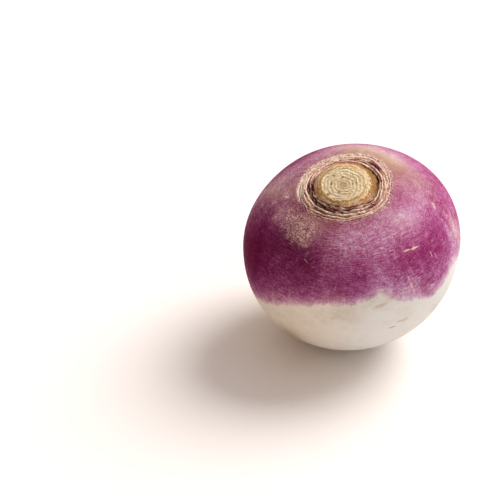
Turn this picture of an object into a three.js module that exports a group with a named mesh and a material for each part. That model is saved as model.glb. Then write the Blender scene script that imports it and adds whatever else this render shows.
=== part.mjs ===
// A purple-top turnip, pulled, topped and tailed: one solid root.
// Millimetres, +Z up. The origin is the middle of the cut tail, which the root rests on.
// -Y is the front, and the crown leans to the front and a little to the left.

import * as THREE from 'three';
import { mergeVertices } from 'three/addons/utils/BufferGeometryUtils.js';

const DEG = Math.PI / 180;

// The body, as an upright turned form: two superellipse halves that meet at the girth.
const GIRTH_RADIUS = 40;         // at the widest ring
const CROWN_RISE = 28.2;         // from the widest ring up to the crown
const ROOT_DROP = 39.9;          // from the widest ring down to the end of the root
const CROWN_FULLNESS = 2.09;     // superellipse exponents: 2 is an ellipse, more is squarer
const ROOT_FULLNESS = 2.16;

// What a turned form lacks: a girth that isn't round, and a middle that wanders.
const LOBES = [                  // [how many, share of the radius, angle of the first]
  [2, 0.017, 62 * DEG],
  [3, 0.010, 79 * DEG],
  [5, 0.002, 40 * DEG],
];
const LOBE_FADE = [8, 30];       // radii between which the lobes come in
const AXIS_SLANT = 1.9;          // sideways run of the middle for one girth radius of height
const CROWN_SHIFT = [-3.1, -0.9];
const CROWN_SHIFT_FADE = [17, 38];
const LEAN_LEFT = 3.2 * DEG;
const LEAN_FRONT = 13.4 * DEG;

// The tail: a short stump under the middle of the leaning body, cut off level.
const TAIL_RADIUS = 5.6;         // of the cut face
const TAIL_FLARE_RADIUS = 11;    // where the stump has run out into the body
const TAIL_DEPTH = 0.7;          // how far the stump stands out of the body

// The crown, as radii of an even crown, which is then drawn out to its uneven one.
const CROWN_EDGE = 26;           // outside this nothing of the crown is left
const LIP_RADIUS = 16.4;         // the corky lip round the leaf scars
const STUB_FOOT_RADIUS = 11.7;   // the foot of the stub that the leaves were cut from
const STUB_TOP_RADIUS = 8.3;     // its cut face
const LIP_SWELL = 0.35;
const LIP_SWELL_WIDTH = 1.5;
const STUB_CENTRE = [-1.1, -2.2]; // the rings' middle
const STUB_RISE = 1.4;           // of the cut face above the crown
const STUB_SLOPE = 0.3;          // how much higher its back edge is, and lower its front edge
const RING_PITCH = 1.3;          // of the rings on the cut face
const RING_RELIEF = 0.08;
const RING_RIM = 0.14;

// The leaf scars: ledges that wrap the stub, each a crescent, each a golden angle on from the last.
const LEDGES = 5;
const LEDGE_TURN = 137.5 * DEG;
const LEDGE_START = -80 * DEG;
const LEDGE_PINCH = 0.14;        // what is left of a ledge on the far side of its crescent
const LEDGE_TAPER = 1.4;
const LEDGE_LEVELS = [-0.55, 0]; // of the outermost and the innermost, against the smooth crown
const LEDGE_RIM = 0.18;          // the papery edge along the outside of each ledge
const LEDGE_RIM_WIDTH = 0.3;
const CRACK_DEPTH = 0.8;         // between one ledge and the next
const CRACK_WIDTH = 0.22;
const CRACK_ROOM = 0.8;          // a ledge narrower than this has a shallower crack

// The mesh.
const SEGMENTS = 72;
const LOWER_ROWS = 18;
const UPPER_ROWS = 12;
const LIP_ROWS = [24, 22, 20.2, 18.8, 17.8, 17.1];
const LEDGE_ROWS = [0, 0.28, 0.7]; // places across each ledge, from its outer edge
const STUB_SIDE_ROWS = 4;
const STUB_TOP_ROWS = 14;
const TAIL_ROW_SHARE = 0.96;     // the outermost row of the cut face, kept just inside its edge

const COLOUR = '#7d2f5e';
const ROUGHNESS = 0.5;

function ramp(from, to, value) {
  const t = Math.min(Math.max((value - from) / (to - from), 0), 1);
  return t * t * (3 - 2 * t);
}

function bump(distance, width) {
  return Math.exp(-((distance / width) ** 2));
}

function mix(from, to, share) {
  return from + (to - from) * share;
}

// One half of the turned form: its height at a radius.
function halfHeight(radius, rise, fullness) {
  const share = Math.min(radius / GIRTH_RADIUS, 1);
  return rise * (1 - share ** fullness) ** (1 / fullness);
}

// A swelling at one side of an outline: 1 towards an angle, and nothing well away from it.
function swelling(angle, towards, width) {
  return bump(Math.atan2(Math.sin(angle - towards), Math.cos(angle - towards)), width);
}

// The uneven outlines of the crown, as a radius at each angle: 0 is to the right, 90 to the back.
function lipOutline(angle) {
  return LIP_RADIUS + 2.5 * swelling(angle, LEDGE_START + LEDGE_TURN, 30 * DEG)
    + 0.9 * swelling(angle, -135 * DEG, 35 * DEG) - 0.6 * swelling(angle, -12 * DEG, 35 * DEG)
    + 0.14 * Math.cos(6 * (angle - 20 * DEG));
}

function footOutline(angle) {
  return STUB_FOOT_RADIUS + 0.5 * Math.cos(angle - 108 * DEG)
    + 0.25 * Math.cos(3 * (angle + 37 * DEG)) + 0.14 * Math.cos(7 * (angle - 10 * DEG));
}

function topOutline(angle) {
  return STUB_TOP_RADIUS + 1.35 * Math.cos(angle + 145 * DEG)
    + 0.45 * Math.cos(2 * (angle - 60 * DEG)) + 0.12 * Math.cos(5 * (angle - 25 * DEG));
}

// The ledges' widths at an angle, from the lip inwards.
function ledgeWidths(angle, room) {
  const weights = [];
  for (let ledge = 0; ledge < LEDGES; ledge += 1) {
    const facing = 0.5 + 0.5 * Math.cos(angle - LEDGE_START - ledge * LEDGE_TURN);
    weights.push(LEDGE_PINCH + facing ** LEDGE_TAPER);
  }
  const sum = weights.reduce((total, weight) => total + weight, 0);
  return weights.map((weight) => room * weight / sum);
}

// The floor of the crack outside a ledge. The last one, inside all ledges, is at the stub's foot.
function crackFloor(widths, ledge) {
  const room = Math.min(widths[Math.max(ledge - 1, 0)], widths[Math.min(ledge, LEDGES - 1)]);
  const level = mix(...LEDGE_LEVELS, ledge / LEDGES);
  return level - CRACK_DEPTH * Math.min(room / CRACK_ROOM, 1);
}

// Where a point of the even crown lands, and how far it stands above the smooth body.
function crownPoint(radius, angle) {
  const lip = lipOutline(angle);
  const foot = footOutline(angle);
  const top = topOutline(angle);
  const widths = ledgeWidths(angle, lip - foot);
  const face = STUB_RISE + STUB_SLOPE * Math.sin(angle) * Math.min(radius / STUB_TOP_RADIUS, 1);
  let centre = [0, 0];
  let reach = 0;
  let lift = 0;

  if (radius > LIP_RADIUS) {
    reach = radius + (lip - LIP_RADIUS) * (1 - ramp(LIP_RADIUS, CROWN_EDGE, radius));
    lift = mix(LIP_SWELL * bump(reach - lip, LIP_SWELL_WIDTH), crackFloor(widths, 0),
      bump(reach - lip, CRACK_WIDTH));
  } else if (radius > STUB_FOOT_RADIUS) {
    const place = LEDGES * (LIP_RADIUS - radius) / (LIP_RADIUS - STUB_FOOT_RADIUS);
    const ledge = Math.min(Math.floor(place), LEDGES - 1);
    const outside = widths[ledge] * (place - ledge);
    const inside = widths[ledge] - outside;
    reach = lip - outside - widths.slice(0, ledge).reduce((total, width) => total + width, 0);
    const shelf = mix(...LEDGE_LEVELS, place / LEDGES)
      + LEDGE_RIM * bump(outside - 2 * CRACK_WIDTH, LEDGE_RIM_WIDTH);
    const floor = crackFloor(widths, outside < inside ? ledge : ledge + 1);
    lift = mix(shelf, floor, bump(Math.min(outside, inside), CRACK_WIDTH));
  } else if (radius > STUB_TOP_RADIUS) {
    const climb = (STUB_FOOT_RADIUS - radius) / (STUB_FOOT_RADIUS - STUB_TOP_RADIUS);
    reach = mix(foot, top, climb);
    lift = mix(mix(LEDGE_LEVELS[1], face, ramp(0, 1, climb)), crackFloor(widths, LEDGES),
      bump(foot - reach, CRACK_WIDTH));
  } else {
    const share = radius / STUB_TOP_RADIUS;
    centre = STUB_CENTRE.map((coordinate) => coordinate * (1 - share));
    reach = top * share;
    const rings = Math.cos(2 * Math.PI * radius / RING_PITCH + angle)
      * ramp(0, 0.2, share) * (1 - ramp(0.85, 1, share));
    const rim = bump(share - 0.95, 0.04) * (1 - ramp(0.96, 1, share));
    lift = face + RING_RELIEF * rings + RING_RIM * rim;
  }
  return [centre[0] + reach * Math.cos(angle), centre[1] + reach * Math.sin(angle), lift];
}

// A point of the lower half, turned towards the point that is lowest once the body leans,
// so that the rows of the mesh close round the tail. The form itself isn't changed by it.
function aimedAtTail(radius, angle) {
  const height = -halfHeight(radius, ROOT_DROP, ROOT_FULLNESS);
  const way = new THREE.Vector3(radius * Math.cos(angle), radius * Math.sin(angle), height).normalize();
  leaned(way, -ramp(0, 1, -way.z));
  const across = Math.hypot(way.x, way.y);
  const length = ((across / GIRTH_RADIUS) ** ROOT_FULLNESS
    + (Math.max(-way.z, 0) / ROOT_DROP) ** ROOT_FULLNESS) ** (-1 / ROOT_FULLNESS);
  return way.multiplyScalar(length);
}

// Lean a point with the body, by a share of its full lean.
function leaned(point, share) {
  const left = new THREE.Matrix4().makeRotationY(-LEAN_LEFT * share);
  const front = new THREE.Matrix4().makeRotationX(LEAN_FRONT * share);
  return point.applyMatrix4(share < 0 ? left.multiply(front) : front.multiply(left));
}

// Give an upright point of the turned form its lobes and its place off the middle.
function uneven(point) {
  const radius = Math.hypot(point.x, point.y);
  const angle = Math.atan2(point.y, point.x);
  let share = 1;
  for (const [count, size, start] of LOBES) {
    share += size * Math.cos(count * (angle - start)) * ramp(...LOBE_FADE, radius);
  }
  const near = point.z > 0 ? 1 - ramp(...CROWN_SHIFT_FADE, radius) : 0;
  point.x = point.x * share + AXIS_SLANT * point.z / GIRTH_RADIUS + CROWN_SHIFT[0] * near;
  point.y = point.y * share + CROWN_SHIFT[1] * near;
  return point;
}

function upperPoint(radius, angle) {
  let [x, y, lift] = [radius * Math.cos(angle), radius * Math.sin(angle), 0];
  if (radius < CROWN_EDGE) {
    [x, y, lift] = crownPoint(radius, angle);
  }
  const height = halfHeight(Math.hypot(x, y), CROWN_RISE, CROWN_FULLNESS);
  const point = uneven(new THREE.Vector3(x, y, height));
  point.z += lift;
  return leaned(point, 1);
}

function lowerPoint(radius, angle) {
  return leaned(uneven(aimedAtTail(radius, angle)), 1);
}

// Radii of the turned form's rows, from the tail out to the girth and in to the crown.
function lowerRadii() {
  const start = Math.acos((TAIL_RADIUS / GIRTH_RADIUS) ** (ROOT_FULLNESS / 2));
  const radii = [0, TAIL_RADIUS * TAIL_ROW_SHARE];
  for (let row = 1; row < LOWER_ROWS; row += 1) {
    radii.push(GIRTH_RADIUS * Math.cos(start * (1 - row / LOWER_ROWS)) ** (2 / ROOT_FULLNESS));
  }
  return radii;
}

function upperRadii() {
  const end = Math.acos((CROWN_EDGE / GIRTH_RADIUS) ** (CROWN_FULLNESS / 2));
  const radii = [];
  for (let row = 0; row <= UPPER_ROWS; row += 1) {
    radii.push(GIRTH_RADIUS * Math.cos(end * row / UPPER_ROWS) ** (2 / CROWN_FULLNESS));
  }
  radii.push(...LIP_ROWS);
  const ledgeWidth = (LIP_RADIUS - STUB_FOOT_RADIUS) / LEDGES;
  for (let ledge = 0; ledge < LEDGES; ledge += 1) {
    for (const across of LEDGE_ROWS) {
      radii.push(LIP_RADIUS - ledgeWidth * (ledge + across));
    }
  }
  for (let row = 0; row < STUB_SIDE_ROWS; row += 1) {
    radii.push(mix(STUB_FOOT_RADIUS, STUB_TOP_RADIUS, row / STUB_SIDE_ROWS));
  }
  for (let row = 0; row <= STUB_TOP_ROWS; row += 1) {
    radii.push(STUB_TOP_RADIUS * (1 - row / STUB_TOP_ROWS));
  }
  return radii;
}

// The root: a turned form, every point of which is then drawn to its real place.
function rootGeometry() {
  const lower = lowerRadii().map((radius) => [radius, -halfHeight(radius, ROOT_DROP, ROOT_FULLNESS)]);
  const upper = upperRadii().map((radius) => [radius, halfHeight(radius, CROWN_RISE, CROWN_FULLNESS)]);
  const profile = [...lower, ...upper].map((place) => new THREE.Vector2(...place));
  const turned = new THREE.LatheGeometry(profile, SEGMENTS).rotateX(Math.PI / 2);
  const tail = lowerPoint(0, 0);
  tail.z -= TAIL_DEPTH;
  const position = turned.getAttribute('position');
  for (let i = 0; i < position.count; i += 1) {
    const radius = Math.hypot(position.getX(i), position.getY(i));
    const angle = Math.atan2(position.getY(i), position.getX(i));
    const upper = position.getZ(i) >= 0;
    const point = (upper ? upperPoint(radius, angle) : lowerPoint(radius, angle)).sub(tail);
    if (!upper) {
      point.z *= ramp(TAIL_RADIUS, TAIL_FLARE_RADIUS, Math.hypot(point.x, point.y));
    }
    position.setXYZ(i, point.x, point.y, point.z);
  }
  turned.deleteAttribute('uv');
  turned.deleteAttribute('normal');
  const geometry = mergeVertices(turned, 1e-4);
  geometry.computeVertexNormals();
  return geometry;
}

const turnip = new THREE.Group();
const skin = new THREE.MeshStandardMaterial({ color: COLOUR, roughness: ROUGHNESS, metalness: 0 });
const root = new THREE.Mesh(rootGeometry(), skin);
root.name = 'turnip';
turnip.add(root);

export default turnip;
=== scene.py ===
"""A purple-top turnip on a white studio floor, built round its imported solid.

Millimetres are used throughout the formulas, and metres in the meshes. +Z is up, -Y is the front.
The origin is the middle of the cut tail, which the root rests on.
"""

import math
from types import SimpleNamespace

import bpy
import numpy as np
from bpy.props import FloatProperty, FloatVectorProperty, PointerProperty
from bpy.types import Operator, Panel, PropertyGroup
from mathutils import Matrix, Vector


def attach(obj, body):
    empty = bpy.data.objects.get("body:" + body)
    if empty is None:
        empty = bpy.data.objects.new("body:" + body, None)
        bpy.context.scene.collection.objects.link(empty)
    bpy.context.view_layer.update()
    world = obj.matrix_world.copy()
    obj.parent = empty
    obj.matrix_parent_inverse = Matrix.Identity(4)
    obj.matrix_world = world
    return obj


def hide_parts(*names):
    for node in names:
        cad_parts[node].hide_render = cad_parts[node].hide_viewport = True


bl_info = {
    "name": "Purple-top turnip",
    "version": (1, 0, 0),
    "blender": (4, 5, 0),
    "location": "View3D > Sidebar > Turnip",
    "description": "Builds a purple-top turnip root, its dry crown and a white studio",
    "category": "Add Mesh",
}

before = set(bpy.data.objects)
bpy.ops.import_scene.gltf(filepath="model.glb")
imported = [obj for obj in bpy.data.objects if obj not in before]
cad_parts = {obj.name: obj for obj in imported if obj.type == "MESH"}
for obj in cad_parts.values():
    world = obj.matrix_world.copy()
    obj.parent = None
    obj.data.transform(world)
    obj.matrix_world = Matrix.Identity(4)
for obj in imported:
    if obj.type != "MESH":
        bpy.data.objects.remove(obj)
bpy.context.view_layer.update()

MM = 0.001
DEG = math.pi / 180

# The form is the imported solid's, so these sizes change only with it.
# The body, as an upright turned form: two superellipse halves that meet at the girth.
GIRTH_RADIUS = 40.0
CROWN_RISE = 28.2
ROOT_DROP = 39.9
CROWN_FULLNESS = 2.09
ROOT_FULLNESS = 2.16

# What a turned form lacks: a girth that isn't round, and a middle that wanders.
LOBES = ((2, 0.017, 62 * DEG), (3, 0.010, 79 * DEG), (5, 0.002, 40 * DEG))
LOBE_FADE = (8, 30)
AXIS_SLANT = 1.9
CROWN_SHIFT = (-3.1, -0.9)
CROWN_SHIFT_FADE = (17, 38)
LEAN_LEFT = 3.2 * DEG
LEAN_FRONT = 13.4 * DEG

# The tail: a short stump under the leaning body, cut off level.
TAIL_RADIUS = 5.6
TAIL_FLARE_RADIUS = 11
TAIL_DEPTH = 0.7

# The crown, as radii of an even crown, which is then drawn out to its uneven one.
CROWN_EDGE = 26.0
LIP_RADIUS = 16.4
STUB_FOOT_RADIUS = 11.7
STUB_TOP_RADIUS = 8.3
LIP_SWELL = 0.35
LIP_SWELL_WIDTH = 1.5
LIP_EASE = 2.6
STUB_CENTRE = (-1.1, -2.2)
STUB_RISE = 1.4
STUB_SLOPE = 0.3
RING_RIM = 0.14

# The leaf scars: ledges that wrap the stub, each a crescent, each a golden angle on from the last.
LEDGES = 5
LEDGE_TURN = 137.5 * DEG
LEDGE_START = -80 * DEG
LEDGE_PINCH = 0.14
LEDGE_TAPER = 1.4
LEDGE_LEVELS = (-0.55, 0)
LEDGE_RIM = 0.18
LEDGE_RIM_WIDTH = 0.3
CRACK_DEPTH = 0.8
CRACK_WIDTH = 0.22
CRACK_ROOM = 0.8

# The outlines of the lip, the stub's foot and its top. A swelling is how far round it is, its reach and
# its size, and a wave is its count, its size and where it crests.
LIP_SWELLINGS = (
    (LEDGE_START + LEDGE_TURN, 30 * DEG, 2.5), (-135 * DEG, 35 * DEG, 0.9), (-12 * DEG, 35 * DEG, -0.6),
)
LIP_WAVES = ((6, 0.14, 20 * DEG),)
FOOT_WAVES = ((1, 0.5, 108 * DEG), (3, 0.25, -37 * DEG), (7, 0.14, 10 * DEG))
TOP_WAVES = ((1, 1.35, -145 * DEG), (2, 0.45, 60 * DEG), (5, 0.12, 25 * DEG))

# Sides of the crown, as how far round and the reach: where it is worn open, its lit right, and where the
# crack round the stub is faint.
WORN_SIDE = (-125 * DEG, 65 * DEG)
RIGHT_SIDE = (20 * DEG, 45 * DEG)
FAINT_SIDE = (95 * DEG, 50 * DEG)

# The rows of old leaf scars on the ledges, a slow spiral of rims and recesses: how many there are, and
# how far round their waves slip from one ledge to the next.
ROWS = 4.6
ROW_SLIP = 0.3

# The wear of the crown: seeded waves that a grown and dried thing has. Each is its seed, its slowest and
# its fastest wave, and its size, as a share, in millimetres or, for rings, in radians.
LIP_EDGE_WAVES = (1, 9, 40, 0.09)
FOOT_EDGE_WAVES = (2, 9, 40, 0.09)
TOP_EDGE_WAVES = (3, 9, 40, 0.09)
CRACK_WAVES = (4, 6, 30, 0.3)
LIP_WRINKLES = (5, 30, 90, 0.07)
STUB_FLUTES = (6, 20, 80, 0.03)
RING_WAVES = (7, 1, 6, 2.0)
ROW_WAVES = (8, 1, 14, 0.16)
RING_STRENGTH_WAVES = (9, 1, 6, 0.6)
STAIN_WAVES = (30, 6, 30, 0.15)
LEDGE_WIDTH_WAVES = [(10 + ledge, 3, 24, 0.16) for ledge in range(LEDGES)]
LEDGE_RIM_WAVES = [(20 + ledge, 12, 70, 0.9) for ledge in range(LEDGES)]

# The least share of a crack's or a ledge's width that its waves leave.
CRACK_LEAST = 0.4
LEDGE_LEAST = 0.3

# Where the crown's colours start and end: millimetres outside or inside the lip, or shares of the way up
# the stub and out from the middle of its cut.
LIP_FADE = (-0.6, 1.0)
PALE_FADE_OUTSIDE = (-0.5, 3.2)
PALE_FADE_INSIDE = (0.8, 3.5)
LEDGE_FADE = (0.6, 1.8)
SHOULDER_FADE = (0.3, 0.9)
HEART_FADE = (0.05, 0.35)

# How the ledges are coloured, as how far round, the reach and how strong: dark cells, which are painted
# shade, and pale skin.
PAINTED_SHADE_SIDES = ((-130, 40, 0.95), (178, 22, 0.75), (-60, 30, 0.5), (20, 40, 0.5))
PALE_SIDES = ((100, 60, 1.1), (30, 35, 0.5), (178, 28, 1.15), (-110, 40, 0.55), (-30, 45, 0.7))

# Stains of the crown: how far round, how far inside the lip, each with its reach, and how strong.
DARK_STAINS = (
    (-147, 26, 4.0, 0.55, 1.0),
    (-112, 14, 3.9, 0.35, 0.8),
    (174, 16, 4.7, 0.45, 0.9),
    (6, 30, 4.7, 0.6, 0.95),
    (-36, 14, 3.6, 0.3, 0.5),
    (-88, 16, 4.5, 0.4, 1.1),
    (0, 20, 2.5, 0.25, 0.5),
    (36, 16, 5.5, 0.35, 0.5),
    (132, 12, 8.0, 0.7, 0.4),
    (30, 20, 7.5, 0.9, 0.25),
)
MAROON_STAINS = (
    (45, 13, 2.9, 0.8, 1.6),
    (179, 15, 3.4, 0.4, 1.2),
    (-40, 14, 3.1, 0.4, 0.8),
    (-57, 8, 3.1, 0.3, 0.6),
)
OCHRE_STAINS = (
    (-50, 13, 5.9, 0.7, 1.0),
    (-75, 9, 5.0, 0.4, 0.6),
    (-160, 20, 6.2, 0.5, 0.8),
    (-120, 25, 5.4, 0.35, 0.7),
    (55, 28, 10.0, 0.6, 0.7),
)

# Pits of the cut: where the middle is, and how far it reaches.
PITS = (
    (-5.5, -1.2, 0.45), (-2.9, -5.4, 0.5), (-6.7, -5.9, 0.5), (3.2, -1.0, 0.35), (-1.2, 1.9, 0.4),
    (-4.4, 2.9, 0.4),
)

# The soil line, where the purple stops: its tilt, and its waves: how far round, how high and the reach.
SOIL_TILT = 4.5
SOIL_HIGH_SIDE = -40
SOIL_WAVES = (
    (-163, -8.0, 24),
    (-138, -2.3, 22),
    (-93, 1.0, 20),
    (-77, 3.6, 7),
    (-66, -0.6, 12),
    (-43, -5.0, 13),
    (-28, 4.2, 12),
    (62, 3.0, 30),
    (118, -4.0, 18),
)

# Pigment, in layers: beside the crown, and what it gains or loses over a run from the crown's middle.
PIGMENT_START = 0.56
PIGMENT_STEPS = ((17, 22, -0.02), (24, 36, 0.45))
PIGMENT_LEAST = 0.1
UNEVENNESS_MOST = 0.75

# Soft patches of the skin: where the middle is, how far it reaches, and how much it adds.
PIGMENT_PATCHES = (
    # deeper pigment on the left flank, partly the skin's own and partly painted shade
    (-36, -14, 43, 12, 1.15),  # the deep left flank
    (-31, -24, 38, 9, 0.02),
    (-19, -31, 46, 10, 0.27),
    (-15, -35, 41, 6, 0.28),
    (-26, -29, 37, 5, 0.1),
    (-20, -20, 58, 8, 0.74),
    (-16, -29, 54, 6, 0.4),
    (-13, -22, 61, 5, -0.2),
    (-20, -7, 64, 4.5, -0.2),
    (0, -39, 40, 7, 0.52),
    # painted highlight: the key lamp's sheen, as paler pigment
    (19, -20, 61, 6, -0.25),  # washed out between the lip and the right flank
    (17, -12, 64, 5, 0.22),
    (31, -17, 56, 8, 0.36),  # the deep arc on the right flank
    (22, -29, 51, 8, 0.26),
    # painted sheen: the right limb paler, as an edge highlight
    (38, -12, 52, 8, -0.78),
    (30, -29, 39, 6, -0.2),
    (15, -37, 44, 5, -0.14),  # a pink gap over the soil line
    (21, -34, 44, 4, -0.38),
    (25, -12, 62, 6, -0.12),
    (27, 1, 65, 7, -0.22),
    (17, 8, 68, 6, -0.24),
    (6, 15, 68, 14, -0.43),
    # painted reflection: the upper-left limb paler, standing in for grazing sheen
    (-31, 4, 59, 9, -0.58),
    (-17, 19, 64, 8, 0.5),
    (-14, 35, 45, 13, 0.4),  # the far side
    (22, 31, 50, 12, 0.35),
    (6, 38, 38, 7, -0.35),
    (-36, 18, 46, 9, -0.3),
)
FILM_PATCHES = (
    (17, 7, 67, 8, 1.0),  # dull and tan behind the crown
    (27, 0, 64, 8, 1.05),
    (3, 18, 69, 11, 1.0),
    (-28, 1, 59, 9, 0.9),
    (37, -10, 54, 7, 0.85),
    (38, -14, 49, 5, 0.4),
    (25, -12, 62, 6, 0.4),
    (-25, -8, 61, 7, 0.4),
    (-18, -23, 56.5, 10, 1.1),
    # painted shade: the bottom-left darker and warmer, where the root nears the floor
    (-21, -24, 14, 8, 1.35),
    (-2, -39, 35, 7, 0.65),
    (0, -36, 27, 12, 0.25),
)
CORK_PATCHES = (
    (-22.5, -15.5, 59.5, 7.5, 0.75),  # the scuff beside the crown
    (-16.5, -22, 58, 7, 0.72),
    (-16.5, -26.2, 54.9, 6.5, 0.48),
    (-26, -12, 58, 5, 0.3),
    (-12, -19, 62, 6, 0.4),
    (16, 9, 68, 6, 0.6),
    (30, -10, 60, 3, 0.4),
    (35, -15, 55, 3, 0.4),
    (-20, 28, 54, 12, 0.75),  # the far side
    (22, 28, 54, 7, 0.6),
)
VIOLET_PATCHES = ((-38, -14, 44, 9, 1.0),)  # the edge of the deep left flank

# Where the pigment is smoother; the first patch lies under the painted highlight.
SMOOTH_PATCHES = (
    (20, -14, 63, 12, 0.4),
    (20, 8, 67, 13, 0.5),
    (-4, 18, 68, 12, 0.35),
)

# The film all round the crown: how much it adds, and where its edge starts and ends.
CROWN_FILM = 0.95
CROWN_FILM_FADE = (16, 27)

# The cut tail's own colour: how far out it reaches, and how far up.
TAIL_FADE = (4, 6.5)
TAIL_FADE_UP = (1, 4)

# Small marks are ellipsoids: how deep each goes, where it fades, as a share, and the point that they
# face away from.
MARK_DEPTH = 2.5
MARK_FADE = (0.9, 1.7)
BODY_MIDDLE = (0, 0, 40)

# Each mark: its two ends, the half width, the tint and how strong.
MARKS = (
    ((17.4, -30.0, 53.9), (19.5, -28.8, 54.1), 0.35, "scar_pale", 0.8),
    ((19.9, -28.8, 54.0), (22.5, -27.1, 54.2), 0.4, "scar_pale", 0.9),
    ((-16.9, -30.0, 51.2), (-15.3, -31.7, 50.0), 0.15, "scar_pale", 0.4),
    ((-22.8, -7.3, 62.6), (-22.4, -7.8, 62.8), 0.6, "scar_pale", 0.8),
    ((27.0, -26.2, 51.7), (27.9, -26.9, 49.8), 0.15, "scar_pale", 0.7),
    ((28.5, -25.6, 50.7), (29.7, -26.0, 48.7), 0.15, "scar_pale", 0.7),
    ((29.3, -8.5, 60.9), (29.9, -10.9, 59.7), 0.7, "scar_pale", 0.5),
    ((19.0, -34.2, 46.4), (19.6, -34.4, 44.9), 0.4, "scar_pale", 0.5),
    ((19.9, -34.4, 44.0), (20.5, -34.5, 42.3), 0.5, "scar_pale", 0.55),
    ((21.0, -34.6, 41.6), (21.5, -34.4, 40.6), 0.4, "scar_pale", 0.5),
    ((-8.1, -38.1, 41.1), (-1.2, -38.6, 43.5), 0.5, "rust_dark", 0.5),
    ((13.1, -35.0, 25.2), (16.0, -34.1, 25.6), 0.3, "rust_dark", 0.7),
    ((16.4, -34.8, 27.9), (20.1, -33.0, 28.2), 0.9, "rust", 0.35),
    ((7.3, -39.2, 36.7), (11.6, -38.4, 38.3), 1.0, "rust", 0.35),
)

# The studio: the camera in millimetres, the floor's reach in metres, and the side that the sky is shaded
# on, with how far towards it the shade starts and ends.
CAMERA_LENS = 101.8
CAMERA_PLACE = (-35.51, -443.31, 312.63)
CAMERA_TILT = 58 * DEG
FLOOR_REACH = 3
SHADED_SIDE = (-0.92, -0.2, -0.1)
SHADE_FADE = (-0.5, 0.9)

# Grains that are as long as they are wide: their real size in millimetres, and the noise's detail. Real
# dust is finer, and is drawn as coarse as it needs to show.
EVEN_GRAINS = {"cloud": (9.0, 3), "mottle": (2.6, 4), "speck": (0.8, 3), "dust": (0.35, 3)}

# Grains that run one way: how many to a radian round the root, and their size in millimetres from the
# crown to the tail. Real streaks and fibres are finer, and are drawn as coarse as they need to show.
DRAWN_GRAINS = {
    "streak": (13.0, 0.35),  # round the body, 3 mm long at the girth
    "hair": (70.0, 5.0),  # up and down it, 0.6 mm wide at the girth
    "cell": (9.0, 0.4),  # along the ledges, 1.6 mm long
    "arc": (2.6, 0.45),  # short strokes round the cut, 3 mm long at its edge
    "flake": (20.0, 0.5),  # the scales of a dry rind, 1 mm long beside the crown
    "fibre": (2.5, 0.25),  # round the crown, 5 mm long
}
GRAIN_ROUGHNESS = 0.6
GRAIN_DISTORTION = 0.6

# How much each grain adds: to the pigment where it is uneven, as millimetres to the soil line, and to
# the fine relief, beside the dust. Then the height of that relief.
PIGMENT_GRAINS = (
    ("cloud", 0.8), ("mottle", 1.4), ("streak", 2.3), ("hair", 0.5), ("speck", 1.6), ("dust", 2.6),
)
SOIL_LINE_GRAINS = (("cloud", 3.0), ("mottle", 3.5), ("hair", 2.0))
RELIEF_GRAINS = (("streak", 0.4), ("speck", 1.0), ("fibre", 0.5))
GRAIN_RELIEF = 0.12

# How glossy the skin is: satin wax, and dry fibre on the crown.
WAX_ROUGHNESS = 0.45
FIBRE_ROUGHNESS = 0.8
WAX_SPECULAR = 0.005

# How strong the thin lines between the scales of the dry rind are.
NET_SHARE = 0.85

# Masks: a field or a grain, the grain that breaks up its edge, by how much, and its start and end.
MASKS = {
    "corky": ("cork", "mottle", 1.8, 0.48, 1.2),
    "crumbs": ("dust", "speck", 1.2, 0.56, 0.78),
    "scratches": ("streak", "dust", 0.6, 0.6, 0.7),
    "crown": ("lip", "speck", 1.6, 0.5, 1.1),
    # painted shade: the ledges' dark cells
    "painted_shade_cells": ("painted_shade", "cell", 3.4, 0.5, 0.8),
    "papery": ("pale", "speck", 2.2, 0.5, 1.1),
    "mauve": ("mottle", "fibre", 1.5, 0.5, 0.9),
    # the recesses' brown: partly the scars' own colour, partly painted shade
    "recess_brown_and_shade": ("recess", "cell", 2.4, 0.5, 0.95),
    "rims": ("rim", "cell", 2.6, 0.42, 0.7),
    "light_specks": ("speck", "dust", 1.0, 0.53, 0.75),
    "dark_specks": ("dust", "speck", 1.0, 0.45, 0.25),
    "rings": ("ring", "arc", 5.0, 0.69, 1.14),
    "strokes": ("fibre", "arc", 1.4, 0.52, 0.62),
    "stub": ("foot", "cell", 1.6, 0.2, 0.8),
    "rind": ("side", "cell", 1.6, 0.5, 1.2),
    "cut": ("shoulder", "cell", 2.0, 0.4, 1.0),
    "rusty": ("ochre", "arc", 1.4, 0.25, 0.9),
    "tail_cut": ("tail", "speck", 1.0, 0.3, 0.9),
}

# What lies on the skin, each over the one before: its mask, a second mask that gates it, and its tint.
COATS = (
    ("tail_cut", None, "stub_side"),
    ("tail_cut", "light_specks", "face_stroke"),
    ("tail_cut", "dark_specks", "rust_dark"),
    ("corky", "net", "cork"),
    ("corky", "crumbs", "cork"),
    ("corky", "scratches", "cork"),
    ("crown", None, "lip"),
    ("ledge", None, "ledge"),
    ("ledge", "mauve", "ledge_mauve"),
    # the recesses' brown: partly the scars' own colour, partly painted shade
    ("ledge", "recess_brown_and_shade", "ledge_brown"),
    ("papery", None, "ledge_pale"),
    ("crown", "light_specks", "ledge_pale"),
    ("stub", None, "stub_foot"),
    ("rind", None, "stub_side"),
    ("cut", None, "stub_shoulder"),
    ("crown", "dark_specks", "ledge_brown"),
    # painted shade: the ledges' dark cells
    ("crown", "painted_shade_cells", "painted_shade"),
    ("ledge", "rims", "ledge_rim"),
    ("cut", "cut", "face"),
    ("cut", "strokes", "face_stroke"),
    ("rind", "rings", "face_line"),
    ("heart", "mottle", "face_heart"),
    ("rind", "light_specks", "face_stroke"),
    ("crown", "rusty", "ochre"),
    ("maroon", None, "maroon"),
    ("dark", None, "dark"),
    ("pit", None, "pit"),
    # the cracks painted dark: painted shade in the crevices
    ("crack", None, "dark"),
)

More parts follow.
